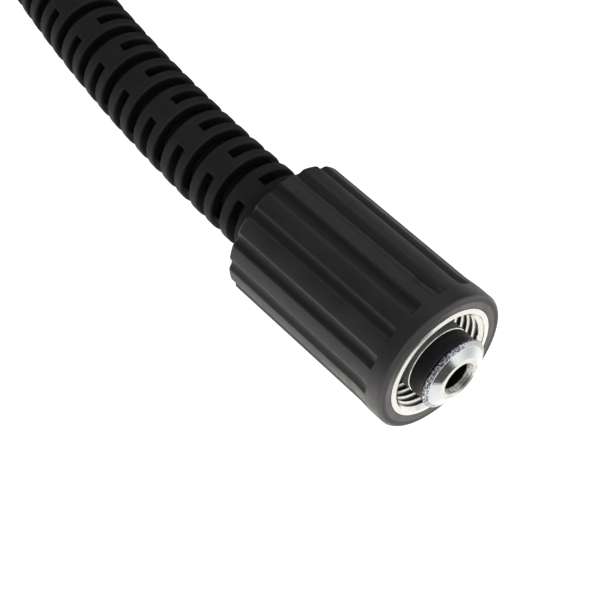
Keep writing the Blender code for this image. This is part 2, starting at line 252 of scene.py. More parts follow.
def make_hose():
    """The hose as a closed tube, with its girth and length in a UV map for its cover."""
    points = hose_points()
    shape = bmesh.new()
    lengths = shape.loops.layers.uv.new("cover")
    rows = []
    travelled = [0.0]
    for before, after in zip(points, points[1:]):
        travelled.append(travelled[-1] + (after - before).length)
    for point, (first, second) in zip(points, tube_frames(points)):
        row = []
        for side in range(HOSE_SIDES):
            turn = 2.0 * math.pi * side / HOSE_SIDES
            spot = point + (first * math.cos(turn) + second * math.sin(turn)) * HOSE_RADIUS
            row.append(shape.verts.new(spot))
        rows.append(row)
    girth = 2.0 * math.pi * HOSE_RADIUS
    for i in range(len(rows) - 1):
        for side in range(HOSE_SIDES):
            after = (side + 1) % HOSE_SIDES
            face = shape.faces.new((rows[i][side], rows[i][after],
                                    rows[i + 1][after], rows[i + 1][side]))
            spots = ((side, i), (side + 1, i), (side + 1, i + 1), (side, i + 1))
            for loop, (step, row) in zip(face.loops, spots):
                loop[lengths].uv = (girth * step / HOSE_SIDES, travelled[row])
    shape.faces.new(rows[0])
    shape.faces.new(rows[-1])
    made = finish_mesh("hose", shape)
    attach(made, "hose")
    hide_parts("hose_near_run", "hose_coil", "hose_far_run")
    return made, points, travelled[-1]


# Shared mesh building; a fillet takes at most this share of each side next to it

FILLET_SHARE = 0.48


def rounded(outline, segments=4):
    """Closed outline of (station, radius, fillet): each corner becomes a short arc."""
    out = []
    for i, (station, radius, fillet) in enumerate(outline):
        here = Vector((station, radius))
        if fillet == 0.0:
            out.append(here)
            continue
        before = Vector(outline[i - 1][:2]) - here
        after = Vector(outline[(i + 1) % len(outline)][:2]) - here
        start = here + before.normalized() * min(fillet, before.length * FILLET_SHARE)
        end = here + after.normalized() * min(fillet, after.length * FILLET_SHARE)
        for k in range(segments + 1):
            t = k / segments
            out.append(start * (1.0 - t) ** 2 + here * 2.0 * t * (1.0 - t) + end * t * t)
    return out


def around(station, radius, angle):
    """Point at a station and radius, at an angle in degrees from +Z towards -Y."""
    turn = math.radians(angle)
    return Vector((station, -radius * math.sin(turn), radius * math.cos(turn)))


def even_angles(count):
    """Angles in degrees, evenly round a full turn."""
    return [360.0 * i / count for i in range(count)]


def ring_faces(shape, rows):
    """Quads between each closed row and the next."""
    for row, following in zip(rows, rows[1:]):
        for j in range(len(row)):
            k = (j + 1) % len(row)
            shape.faces.new((row[j], row[k], following[k], following[j]))


def turned(name, outline, angles, shaped=None):
    """Closed outline turned about the axis; shaped(station, radius, angle) gives its radius."""
    shape = bmesh.new()
    rows = []
    for station, radius in outline:
        spots = [shaped(station, radius, angle) if shaped else radius for angle in angles]
        rows.append([shape.verts.new(around(station, spot, angle))
                     for spot, angle in zip(spots, angles)])
    ring_faces(shape, rows + rows[:1])
    return finish_mesh(name, shape)


# Moulded grip of the swivel nut

COLLAR_RADIUS = 0.0151
COLLAR_LENGTH = 0.0036
COLLAR_FADE = 0.0030
EDGE_ROUND = 0.0008
EDGE_ROWS = 6
RIB_RADIUS = 0.0149
RIB_REAR_RADIUS = 0.0148
RIB_COUNT = 15
RIB_PHASE = 25.3
RIB_PITCH = 360.0 / RIB_COUNT
FLUTE_HALF = 5.6
FLUTE_DEPTH = 0.00060
FLUTE_EASE = 0.7
FLUTE_START = 0.00035
PARTING_ANGLE = -2.7
PARTING_HALF = 0.30
PARTING_DEPTH = 0.00006
SEAT_RADIUS = 0.01245
SEAT_FRONT = -0.0010
SEAT_BACK = -0.0173
LIP_RADIUS = 0.01221
LIP_BACK = -0.0009
REAR_BORE = 0.0097
REAR_BORE_EDGE = 0.0003
REAR_ROUND = 0.0007

# Rows of the grip's mesh: the lip's eased edge as (station, more radius), distances behind the
# face on the collar, behind the collar on the ribs, and from the rear end
LIP_EDGE = [(-0.00006, 0.0), (-0.00002, 0.00002), (0.0, 0.00008)]
COLLAR_ROWS = [0.0020, COLLAR_LENGTH - 0.0002, COLLAR_LENGTH]
RIB_ROWS = [0.00008, 0.00016, 0.00024, 0.00035, 0.0006, 0.0015]
RIB_ROWS += [0.003 + 0.0024 * k for k in range(15)]
REAR_ROWS = [0.0008, 0.0006, 0.0004, 0.0002, 0.00008, 0.0]

# Angles from a flute's middle to its next rib, close together at its edge
FLUTE_STEPS = [1.2, 2.4, 3.6, 4.5, 5.0, 5.3, 5.6, 5.9, 6.2, 6.6, 7.2, 8.4, 9.6, 10.8]


def flute_depth(angle):
    """Depth of the concave flute at an angle, its edges eased over a small width."""
    offset = (angle - RIB_PHASE) % RIB_PITCH - RIB_PITCH / 2.0
    total = 0.0
    samples = 7
    for i in range(samples):
        spot = offset + FLUTE_EASE * (2.0 * i / (samples - 1) - 1.0)
        total += max(0.0, 1.0 - (spot / FLUTE_HALF) ** 2)
    return FLUTE_DEPTH * total / samples


def grip_angles():
    """Angles round the grip, close together at flute edges and parting lines."""
    steps = [-step for step in FLUTE_STEPS] + [0.0] + FLUTE_STEPS + [RIB_PITCH / 2.0]
    angles = []
    for rib in range(RIB_COUNT):
        middle = RIB_PHASE + RIB_PITCH * (rib + 0.5)
        angles += [(middle + step) % 360.0 for step in steps]
    for side in (0.0, 180.0):
        angles += [(PARTING_ANGLE + side + PARTING_HALF * k) % 360.0 for k in (-1.0, 0.0, 1.0)]
    return sorted(set(round(angle, 4) for angle in angles))


def parting_line(angle):
    """Depth of the fine line that the mould's halves leave on both sides."""
    offset = (angle - PARTING_ANGLE + 90.0) % 180.0 - 90.0
    return PARTING_DEPTH * max(0.0, 1.0 - abs(offset) / PARTING_HALF)


def grip_radius(station, radius, angle):
    """A row's own radius, or the outside of the ribbed length behind the collar."""
    if radius is not None:
        return radius
    behind = -COLLAR_LENGTH - station
    share = behind / (NUT_LENGTH - COLLAR_LENGTH)
    radius = RIB_RADIUS + (RIB_REAR_RADIUS - RIB_RADIUS) * share
    radius += (COLLAR_RADIUS - RIB_RADIUS) * (1.0 - eased(behind, 0.0, COLLAR_FADE))
    radius -= flute_depth(angle) * eased(behind, 0.0, FLUTE_START)
    left = NUT_LENGTH + station
    if left < REAR_ROUND:
        radius -= REAR_ROUND * (1.0 - math.sqrt(max(0.0, 1.0 - (1.0 - left / REAR_ROUND) ** 2)))
    return radius - parting_line(angle) * eased(behind, 0.0, FLUTE_START)


def grip_outline():
    """Closed rows of the grip: (station, radius), with no radius of their own on the ribs."""
    rows = [(SEAT_FRONT, SEAT_RADIUS), (LIP_BACK, LIP_RADIUS)]
    rows += [(station, LIP_RADIUS + more) for station, more in LIP_EDGE]
    rows.append((0.0, COLLAR_RADIUS - EDGE_ROUND))
    for k in range(1, EDGE_ROWS + 1):
        turn = math.radians(90.0 / EDGE_ROWS * k)
        rows.append((EDGE_ROUND * (math.cos(turn) - 1.0),
                     COLLAR_RADIUS - EDGE_ROUND * (1.0 - math.sin(turn))))
    rows += [(-behind, COLLAR_RADIUS) for behind in COLLAR_ROWS]
    ribbed = RIB_ROWS + [NUT_LENGTH - COLLAR_LENGTH - left for left in REAR_ROWS]
    rows += [(-COLLAR_LENGTH - behind, None) for behind in ribbed]
    rows += [(-NUT_LENGTH, REAR_BORE + REAR_BORE_EDGE), (-NUT_LENGTH + REAR_BORE_EDGE, REAR_BORE),
             (SEAT_BACK, REAR_BORE), (SEAT_BACK, SEAT_RADIUS)]
    return rows


def make_grip(name):
    """Moulded grip: plain collar, fifteen ribs and the insert's bore."""
    return turned(name + "_grip", grip_outline(), grip_angles(), grip_radius)


# Threaded insert

INSERT_RADIUS = 0.01215
INSERT_FRONT = 0.0002
INSERT_BACK = -0.0170
THREAD_RADIUS = 0.0102
THREAD_DEPTH = 0.0008
THREAD_PITCH = 0.0015
THREAD_LEAD = 0.0009
THREAD_END = -0.0113
RELIEF_END = -0.0128
SHOULDER_RADIUS = 0.0088
INSERT_ROUND = 0.00015
INSERT_SLOPE = 0.00013
THREAD_FORM = [(0.00, 0.06), (0.03, 0.0), (0.20, 0.0), (0.23, 0.06),
               (0.54, 0.94), (0.57, 1.0), (0.66, 1.0), (0.69, 0.94)]
THREAD_OVERRUN = 1.2
SHOULDER_ROUND = 0.0001
INSERT_BACK_ROUND = 0.0002
WELD_DISTANCE = 0.000004
SLIVER_DISTANCE = 0.000002
METAL_SIDES = 144
INSERT_SHARP = 32.0


def thread_spot(step, angle):
    """Station and radius of a vertex on the helix, held inside the thread's ends."""
    share, depth = THREAD_FORM[step % len(THREAD_FORM)]
    turns = step // len(THREAD_FORM) + share + angle / 360.0
    station = INSERT_FRONT + THREAD_OVERRUN * THREAD_PITCH - THREAD_PITCH * turns
    if station >= INSERT_FRONT:
        return INSERT_FRONT, THREAD_RADIUS + THREAD_LEAD
    if station <= THREAD_END:
        return THREAD_END, THREAD_RADIUS + THREAD_DEPTH
    lead = THREAD_LEAD - (INSERT_FRONT - station)
    return station, THREAD_RADIUS + max(THREAD_DEPTH * depth, lead)


def make_insert(name):
    """Threaded insert: the thread's helix, the shoulder behind it and a plain outside."""
    shape = bmesh.new()
    angles = even_angles(METAL_SIDES)
    per_turn = len(THREAD_FORM)
    thread_turns = (INSERT_FRONT - THREAD_END) / THREAD_PITCH
    steps = per_turn * math.ceil(thread_turns + 2.0 * THREAD_OVERRUN)
    helix = [[shape.verts.new(around(*thread_spot(step, angle), angle)) for angle in angles]
             for step in range(steps + per_turn)]
    last = METAL_SIDES - 1
    for step in range(steps):
        low, high = helix[step], helix[step + 1]
        for j in range(last):
            shape.faces.new((low[j], low[j + 1], high[j + 1], high[j]))
        if step + per_turn + 1 < len(helix):
            next_low, next_high = helix[step + per_turn], helix[step + per_turn + 1]
            shape.faces.new((low[last], next_low[0], next_high[0], high[last]))
    body_line = rounded([(RELIEF_END, THREAD_RADIUS + THREAD_DEPTH, 0.0),
                         (RELIEF_END, SHOULDER_RADIUS, SHOULDER_ROUND),
                         (INSERT_BACK, SHOULDER_RADIUS, SHOULDER_ROUND),
                         (INSERT_BACK, INSERT_RADIUS, INSERT_BACK_ROUND),
                         (INSERT_FRONT - INSERT_SLOPE, INSERT_RADIUS, INSERT_ROUND),
                         (INSERT_FRONT, THREAD_RADIUS + THREAD_LEAD, 0.0)])
    rows = [helix[steps]]
    rows += [[shape.verts.new(around(station, radius, angle)) for angle in angles]
             for station, radius in body_line]
    ring_faces(shape, rows)
    bmesh.ops.remove_doubles(shape, verts=shape.verts, dist=WELD_DISTANCE)
    bmesh.ops.dissolve_degenerate(shape, dist=SLIVER_DISTANCE, edges=shape.edges)
    loose = [vertex for vertex in shape.verts if not vertex.link_faces]
    bmesh.ops.delete(shape, geom=loose, context="VERTS")
    return finish_mesh(name + "_insert", shape, sharp=INSERT_SHARP)


# Nipple and seal collar

NOSE_TIP = 0.00496
NOSE_TIP_RADIUS = 0.00464
NOSE_BACK = 0.00315
NOSE_RADIUS = 0.0076
COUNTERSINK_RADIUS = 0.00357
COUNTERSINK_DEPTH = 0.00116
BORE_RADIUS = 0.00307
TAIL_BORE_RADIUS = 0.0020
GROOVE_RADIUS = 0.00505
GROOVE_BACK = -0.0006
SHANK_RADIUS = 0.0073
FLANGE_FRONT = -0.0095
FLANGE_BACK = -0.0125
FLANGE_RADIUS = 0.0098
NECK_END = -0.0170
NECK_RADIUS = 0.0082
TAIL_END = -0.0370
TAIL_RADIUS = 0.0025
SEAL_FRONT = 0.00285
SEAL_BACK = -0.00045
SEAL_RADIUS = 0.00725
SEAL_INNER = 0.00535
SEAL_ROUND = 0.0002
SEAL_FRONT_ROUND = 0.0005
METAL_ROUND = 0.0002
FINE_ROUND = 0.0001
TIP_ROUND = 0.00025
SINK_ROUND = 0.00012
BORE_ROUND = 0.00015
CONE_ROWS = (0.0006, 0.0003)
RIM_ROUND = 0.00015

# Worked rim of the nose disc: its plain length, where the cone takes over, and its relief
RIM_LENGTH = 0.0004
RIM_FRONT = 0.0040
RIM_INNER = 0.0067
RIM_WIDTH = 0.0009
RIM_BACK_EASE = (-0.0001, 0.0002)
RIM_DEPTH = 0.00006
RIM_TEETH = 96
RIM_GRAIN = (0.9, 4000.0, 3.0)


def nipple_radius(station, radius, angle):
    """The nipple's radius, with the worked rim along the nose disc's back edge."""
    back, risen = (NOSE_BACK + offset for offset in RIM_BACK_EASE)
    if station < back or radius < NOSE_RADIUS - RIM_WIDTH:
        return radius
    share = eased(station, back, risen)
    share *= 1.0 - eased(station, RIM_FRONT - RIM_LENGTH, RIM_FRONT)
    round_scale, along_scale, layer = RIM_GRAIN
    grain = noise.noise(Vector((angle * round_scale, station * along_scale, layer)))
    teeth = 0.5 + 0.5 * math.sin(math.radians(angle * RIM_TEETH))
    return radius - RIM_DEPTH * share * (teeth + grain)


def make_nipple(name):
    """Nipple in one piece: nose disc, seal groove, shank, flange, neck and tail, bored through."""
    slope = (NOSE_TIP - NOSE_BACK - RIM_LENGTH) / (NOSE_RADIUS - NOSE_TIP_RADIUS)
    rim_edge = NOSE_BACK + RIM_LENGTH
    outline = rounded([
        (NOSE_TIP - COUNTERSINK_DEPTH, BORE_RADIUS, BORE_ROUND),
        (NOSE_TIP, COUNTERSINK_RADIUS, SINK_ROUND),
        (NOSE_TIP, NOSE_TIP_RADIUS, TIP_ROUND),
        *((rim_edge + slope * inward, NOSE_RADIUS - inward, 0.0) for inward in CONE_ROWS),
        (rim_edge, NOSE_RADIUS, RIM_ROUND),
        (NOSE_BACK + RIM_LENGTH / 2.0, NOSE_RADIUS, 0.0),
        (NOSE_BACK, NOSE_RADIUS, FINE_ROUND),
        (NOSE_BACK, GROOVE_RADIUS, FINE_ROUND),
        (GROOVE_BACK, GROOVE_RADIUS, FINE_ROUND),
        (GROOVE_BACK, SHANK_RADIUS, METAL_ROUND),
        (FLANGE_FRONT, SHANK_RADIUS, METAL_ROUND),
        (FLANGE_FRONT, FLANGE_RADIUS, METAL_ROUND),
        (FLANGE_BACK, FLANGE_RADIUS, METAL_ROUND),
        (FLANGE_BACK, NECK_RADIUS, FINE_ROUND),
        (NECK_END, NECK_RADIUS, FINE_ROUND),
        (NECK_END, TAIL_RADIUS, 0.0),
        (TAIL_END, TAIL_RADIUS, 0.0),
        (TAIL_END, TAIL_BORE_RADIUS, 0.0),
        (FLANGE_BACK, TAIL_BORE_RADIUS, 0.0),
        (FLANGE_FRONT, BORE_RADIUS, 0.0),
    ])
    return turned(name + "_nipple_nose", outline, even_angles(2 * METAL_SIDES), nipple_radius)


def make_seal(name):
    """Black collar in the groove behind the nose disc, its front edge well rounded."""
    outline = rounded([(SEAL_FRONT, SEAL_INNER, SEAL_ROUND),
                       (SEAL_FRONT, SEAL_RADIUS, SEAL_FRONT_ROUND),
                       (SEAL_BACK, SEAL_RADIUS, SEAL_ROUND),
                       (SEAL_BACK, SEAL_INNER, SEAL_ROUND)])
    return turned(name + "_seal_collar", outline, even_angles(METAL_SIDES))


# Slotted bend restrictor

SLEEVE_FRONT = FERRULE_END - GAP
SLEEVE_RADIUS = 0.0092
SLEEVE_REAR_RADIUS = 0.0083
SLEEVE_INNER = 0.0063
FIRST_SLOT = 0.0062
SLOT_PERIOD = 0.0094
SLOT_STEP = 0.00475
SLOT_COUNT = 9
WINDOW_WIDTH = 0.00245
GROOVE_WIDTH = 0.00285
BRIDGE_SINK = 0.0010
CELL_ANGLE = 5.0
CELLS = round(360.0 / CELL_ANGLE)
FIRST_CELL_ANGLE = 7.0
BRIDGE_CELLS = 7
SLEEVE_BEVEL = 0.00022
BEVEL_SEGMENTS = 3
BEVEL_ANGLE = 30.0


def sleeve_radius(station):
    """Outer radius of the sleeve, which tapers towards its rear."""
    share = (SLEEVE_FRONT - station) / (SLEEVE_FRONT - SLEEVE_REAR)
    return SLEEVE_RADIUS + (SLEEVE_REAR_RADIUS - SLEEVE_RADIUS) * share


def sleeve_slots():
    """Middle, width and kind of each slot, front to back: windows and sunk grooves by turns."""
    slots = []
    for i in range(SLOT_COUNT):
        middle = -NUT_LENGTH - FIRST_SLOT - i * SLOT_PERIOD
        slots.append((middle, WINDOW_WIDTH, "window"))
        slots.append((middle - SLOT_STEP, GROOVE_WIDTH, "groove"))
    return slots


def on_bridge(cell, first):
    """Whether a cell is on one of two opposite bridges; the first bridge starts at first."""
    return any((cell - first - half) % CELLS < BRIDGE_CELLS for half in (0, CELLS // 2))


def layers_left(kind, cell):
    """How many of the sleeve's two radial layers are solid in a cell."""
    if kind == "ring":
        return 2
    if kind == "window":
        return 2 if on_bridge(cell, 0) else 0
    return 1 if on_bridge(cell, CELLS // 4) else 0


def sleeve_bands():
    """The sleeve from front to rear, as (front, rear, kind): rings, windows and sunk grooves."""
    bands = []
    front = SLEEVE_FRONT
    for middle, width, kind in sleeve_slots():
        bands.append((front, middle + width / 2.0, "ring"))
        bands.append((middle + width / 2.0, middle - width / 2.0, kind))
        front = middle - width / 2.0
    bands.append((front, SLEEVE_REAR, "ring"))
    return bands


def cell_walls(solid, band, level, cell):
    """Corners (band edge, level, cell edge) of each wall of a solid cell that shows."""
    walls = []
    if level == 0:
        walls.append([(band, 0, cell), (band, 0, cell + 1),
                      (band + 1, 0, cell + 1), (band + 1, 0, cell)])
    if level == 1 or not solid(band, 1, cell):
        top = level + 1
        walls.append([(band, top, cell), (band + 1, top, cell),
                      (band + 1, top, cell + 1), (band, top, cell + 1)])
    for other, edge in ((band - 1, band), (band + 1, band + 1)):
        if not solid(other, level, cell):
            walls.append([(edge, level, cell), (edge, level + 1, cell),
                          (edge, level + 1, cell + 1), (edge, level, cell + 1)])
    for other, line in ((cell - 1, cell), (cell + 1, cell + 1)):
        if not solid(band, level, other):
            walls.append([(band, level, line), (band, level + 1, line),
                          (band + 1, level + 1, line), (band + 1, level, line)])
    return walls


def make_sleeve(name, side):
    """Slotted bend restrictor, made of solid cells in bands and two radial layers."""
    bands = sleeve_bands()
    edges = [bands[0][0]] + [band[1] for band in bands]
    shape = bmesh.new()
    corners = {}

    def corner(i, level, cell):
        key = (i, level, cell % CELLS)
        if key not in corners:
            outer = sleeve_radius(edges[i])
            radius = (SLEEVE_INNER, outer - BRIDGE_SINK, outer)[level]
            spot = around(edges[i], radius, FIRST_CELL_ANGLE + CELL_ANGLE * cell)
            corners[key] = shape.verts.new(bend_point(spot, side))
        return corners[key]

    def solid(band, level, cell):
        return 0 <= band < len(bands) and level < layers_left(bands[band][2], cell % CELLS)

    for band in range(len(bands)):
        for cell in range(CELLS):
            for level in range(layers_left(bands[band][2], cell)):
                for wall in cell_walls(solid, band, level, cell):
                    shape.faces.new([corner(*key) for key in wall])
    made = finish_mesh(name + "_restrictor", shape, sharp=180.0)
    bevel = made.modifiers.new("edges", "BEVEL")
    bevel.width = SLEEVE_BEVEL
    bevel.segments = BEVEL_SEGMENTS
    bevel.limit_method = "ANGLE"
    bevel.angle_limit = math.radians(BEVEL_ANGLE)
    made.modifiers.new("shading", "WEIGHTED_NORMAL").keep_sharp = False
    return made


# Materials: lengths are in metres, spots in the coupling's own frame

# Near black: painted shade in the grip's flutes, the sleeve's slots and the hose inside the
# sleeves; also the colour of the grip's one small mark
SHADE_AND_MARK_BLACK = (0.003, 0.003, 0.003)


def set_inputs(node, values):
    """Give a node's inputs their plain values."""
    for key, value in values.items():
        node.inputs[key].default_value = value


class Surface:
    """A material being made: its shader, and short ways to put nodes before it."""

    def __init__(self, name, colour, roughness, metallic=0.0):
        self.material = bpy.data.materials.new(name)
        self.material.use_nodes = True
        self.tree = self.material.node_tree
        self.shader = self.tree.nodes["Principled BSDF"]
        set_inputs(self.shader, {"Base Color": (*colour, 1.0), "Roughness": roughness,
                                 "Metallic": metallic})
        self.colour = colour
        self.place = self.add("ShaderNodeTexCoord").outputs["Object"]
        self.normal = None
        self.tone = None
        self.gloss = None

    def add(self, kind, **settings):
        """New node of a kind, with its own settings."""
        made = self.tree.nodes.new(kind)
        for key, value in settings.items():
            setattr(made, key, value)
        return made

    def link(self, source, target):
        self.tree.links.new(source, target)

    def noise(self, scale, detail=3.0, roughness=0.55, source=None):
        made = self.add("ShaderNodeTexNoise")
        set_inputs(made, {"Scale": scale, "Detail": detail, "Roughness": roughness})
        self.link(source or self.place, made.inputs["Vector"])
        return made.outputs["Fac"]

    def scaled(self, source, factors):
        """A vector scaled by a factor along each axis."""
        made = self.add("ShaderNodeVectorMath", operation="MULTIPLY")
        self.link(source, made.inputs[0])
        made.inputs[1].default_value = factors
        return made.outputs["Vector"]

    def ranged(self, source, low, high, to_low, to_high):
        """Carry a value from one range to another, held at both ends."""
        made = self.add("ShaderNodeMapRange")
        self.link(source, made.inputs["Value"])
        set_inputs(made, {"From Min": low, "From Max": high, "To Min": to_low, "To Max": to_high})
        return made.outputs["Result"]

    def rising(self, source, low, high, most=1.0):
        """0 up to low, and the most from high on."""
        return self.ranged(source, low, high, 0.0, most)

    def falling(self, source, low, high, most=1.0):
        """The most up to low, and 0 from high on."""
        return self.ranged(source, low, high, most, 0.0)

    def distance(self):
        """Distance from the X axis."""
        made = self.add("ShaderNodeVectorMath", operation="LENGTH")
        self.link(self.scaled(self.place, (0.0, 1.0, 1.0)), made.inputs[0])
        return made.outputs["Value"]

    def distance_from(self, spot):
        """Distance from a spot of the coupling."""
        made = self.add("ShaderNodeVectorMath", operation="DISTANCE")
        self.link(self.place, made.inputs[0])
        made.inputs[1].default_value = spot
        return made.outputs["Value"]

    def split(self, vector):
        """A vector's three parts."""
        made = self.add("ShaderNodeSeparateXYZ")
        self.link(vector, made.inputs[0])
        return made.outputs

    def station(self):
        """Place along the X axis."""
        return self.split(self.place)["X"]

    def maths(self, operation, first, second):
        made = self.add("ShaderNodeMath", operation=operation)
        for socket, value in zip(made.inputs, (first, second)):
            if isinstance(value, float):
                socket.default_value = value
            else:
                self.link(value, socket)
        return made.outputs["Value"]

    def times(self, first, second):
        return self.maths("MULTIPLY", first, second)

    def hypotenuse(self, first, second):
        """Length of the two values as sides at a right angle."""
        both = self.maths("ADD", self.times(first, first), self.times(second, second))
        return self.maths("SQRT", both, 0.0)

    def turning_lines(self, scale):
        """Noise in rings about the X axis, as a lathe tool leaves them."""
        both = self.maths("ADD", self.distance(), self.station())
        rings = self.add("ShaderNodeTexNoise", noise_dimensions="1D")
        set_inputs(rings, {"Scale": scale, "Detail": 4.0})
        self.link(both, rings.inputs["W"])
        return rings.outputs["Fac"]

    def tint(self, factor, other):
        """Mix the colour so far towards another where the factor is high."""
        made = self.add("ShaderNodeMix", data_type="RGBA")
        if self.tone:
            self.link(self.tone, made.inputs["A"])
        else:
            made.inputs["A"].default_value = (*self.colour, 1.0)
        made.inputs["B"].default_value = (*other, 1.0)
        self.link(factor, made.inputs["Factor"])
        self.tone = made.outputs["Result"]
        self.link(self.tone, self.shader.inputs["Base Color"])

    def mottle(self, scale, other, detail=4.0, low=0.35, high=0.75, most=1.0):
        """Tint patches of the surface."""
        self.tint(self.rising(self.noise(scale, detail), low, high, most), other)

    def roughen(self, scale, low, high, detail=3.0):
        """Let the roughness wander from low to high with a noise."""
        self.gloss = self.ranged(self.noise(scale, detail), 0.3, 0.7, low, high)
        self.link(self.gloss, self.shader.inputs["Roughness"])

    def roughen_more(self, factor, most):
        """Raise the roughness to at least factor times most."""
        self.gloss = self.maths("MAXIMUM", self.gloss, self.times(factor, most))
        self.link(self.gloss, self.shader.inputs["Roughness"])

    def bump(self, source, strength, distance):
        """Raise the surface where the source is high, on top of earlier bumps."""
        made = self.add("ShaderNodeBump")
        set_inputs(made, {"Strength": strength, "Distance": distance})
        self.link(source, made.inputs["Height"])
        if self.normal:
            self.link(self.normal, made.inputs["Normal"])
        self.normal = made.outputs["Normal"]
        self.link(self.normal, self.shader.inputs["Normal"])


FLUTE_RADII = (0.0144, 0.01475)
INSIDE_RADII = (0.0135, 0.0136)
MARK_SPOT = (-0.0083, 0.0014, 0.0146)
MARK_SIZE = (0.0005, 0.0012)


def moulded_plastic():
    """Matt black grip: cloudy, fine grain, rougher flutes with painted shade, one small mark."""
    surface = Surface("moulded_plastic", (0.021, 0.020, 0.021), 0.42)
    surface.mottle(160.0, (0.030, 0.028, 0.028))
    shaded_flutes = surface.times(surface.falling(surface.distance(), *FLUTE_RADII),
                          surface.rising(surface.distance(), *INSIDE_RADII))
    # painted shade: the flutes' floors tinted towards black
    surface.tint(surface.times(shaded_flutes, 0.85), SHADE_AND_MARK_BLACK)
    surface.roughen(420.0, 0.41, 0.53)
    surface.roughen_more(shaded_flutes, 0.62)
    surface.bump(surface.noise(5200.0, 2.0), 0.25, 0.00003)
    surface.bump(surface.noise(900.0, 2.0), 0.15, 0.00005)
    mark = surface.times(surface.falling(surface.distance_from(MARK_SPOT), *MARK_SIZE),
                         surface.rising(surface.noise(1300.0, 3.0, 0.7), 0.46, 0.54))
    surface.tint(mark, SHADE_AND_MARK_BLACK)
    surface.bump(mark, 1.0, 0.00025)
    return surface.material


def sleeve_depth(surface, side):
    """How far a point of the sleeve lies below its tapered and bent outside."""
    along, across, height = surface.split(surface.place)
    if side:
        past = surface.maths("ADD", along, NUT_LENGTH + SLEEVE_BEND_START)
        offset = surface.maths("SUBTRACT", across, SLEEVE_BEND_RADIUS * side)
        across = surface.maths("SUBTRACT", surface.hypotenuse(past, offset), SLEEVE_BEND_RADIUS)
    outside = surface.ranged(along, SLEEVE_REAR, SLEEVE_FRONT, SLEEVE_REAR_RADIUS, SLEEVE_RADIUS)
    return surface.maths("SUBTRACT", outside, surface.hypotenuse(across, height))


SLOT_SHADE_DEPTHS = (0.00025, 0.0008)


def sleeve_plastic(side):
    """Soft black plastic, painted shade in the slots; the side tells which way the sleeve bends.
    """
    surface = Surface("soft_black_plastic", (0.024, 0.024, 0.0245), 0.50)
    set_inputs(surface.shader, {"Specular IOR Level": 0.06})
    surface.mottle(220.0, (0.033, 0.032, 0.0325))
    # painted shade: the slots' floors and walls tinted towards black by their depth
    surface.tint(surface.rising(sleeve_depth(surface, side), *SLOT_SHADE_DEPTHS, 0.92), SHADE_AND_MARK_BLACK)
    surface.roughen(500.0, 0.46, 0.58)
    surface.bump(surface.noise(4200.0, 2.0), 0.25, 0.00003)
    return surface.material


def seal_rubber():
    """Smooth black rubber with faint lines round it."""
    surface = Surface("seal_rubber", (0.008, 0.008, 0.008), 0.45)
    set_inputs(surface.shader, {"Specular IOR Level": 0.4})
    surface.mottle(500.0, (0.015, 0.014, 0.014), 3.0, 0.4, 0.8)
    surface.roughen(900.0, 0.36, 0.48)
    surface.bump(surface.turning_lines(4000.0), 0.2, 0.00002)
    return surface.material


COVERED_LENGTH = SLEEVE_FRONT - SLEEVE_REAR
COVERED_FADE = 0.003
COVERED_SHADE = 0.95
DRAWN_OUT = (1.0, 0.04, 1.0)


def hose_cover(length):
    """Black cover, darker where the sleeves shade it, with faint lines along it."""
    surface = Surface("hose_cover", (0.012, 0.012, 0.0125), 0.55)
    set_inputs(surface.shader, {"Specular IOR Level": 0.35})
    surface.mottle(120.0, (0.020, 0.0195, 0.0195))
    surface.roughen(300.0, 0.48, 0.62)
    girth_and_length = surface.add("ShaderNodeUVMap", uv_map="cover").outputs["UV"]
    travelled = surface.split(girth_and_length)["Y"]
    in_near = surface.falling(travelled, COVERED_LENGTH - COVERED_FADE, COVERED_LENGTH,
                              COVERED_SHADE)
    in_far = surface.rising(travelled, length - COVERED_LENGTH,
                            length - COVERED_LENGTH + COVERED_FADE, COVERED_SHADE)
    surface.tint(surface.maths("MAXIMUM", in_near, in_far), SHADE_AND_MARK_BLACK)
    drawn = surface.scaled(girth_and_length, DRAWN_OUT)
    surface.bump(surface.noise(1400.0, 2.0, source=drawn), 0.2, 0.00006)
    surface.bump(surface.noise(2600.0, 3.0), 0.30, 0.00006)
    return surface.material


def plated_metal(name, colour, low, high, line_strength):
    """Bright metal, a little cloudy, with fine turning lines; low and high are its roughness."""
    surface = Surface(name, colour, low, 1.0)
    surface.mottle(300.0, tuple(0.85 * part for part in colour), 4.0, 0.45, 0.8, 0.6)
    surface.roughen(700.0, low, high, 4.0)
    surface.bump(surface.turning_lines(9000.0), line_strength, 0.00002)
    surface.bump(surface.noise(3500.0, 3.0), 0.10, 0.00002)
    return surface


ROOT_SHADE_RADII = (0.0104, 0.0107)
ROOT_SHADE_STATIONS = (-0.0008, -0.0012)


def thread_steel():
    """Turned steel, with painted shade and more roughness in the roots of the thread."""
    surface = plated_metal("bright_steel", (0.50, 0.497, 0.48), 0.10, 0.20, 0.10)
    root_shade = surface.times(surface.rising(surface.distance(), *ROOT_SHADE_RADII),
                           surface.rising(surface.station(), *ROOT_SHADE_STATIONS))
    # painted shade: the thread's roots, behind its first turn, tinted near black
    surface.tint(surface.times(root_shade, 0.9), (0.05, 0.048, 0.042))
    surface.roughen_more(root_shade, 0.45)
    surface.mottle(3800.0, (0.34, 0.335, 0.30), 2.0, 0.54, 0.68, 0.6)
    return surface.material


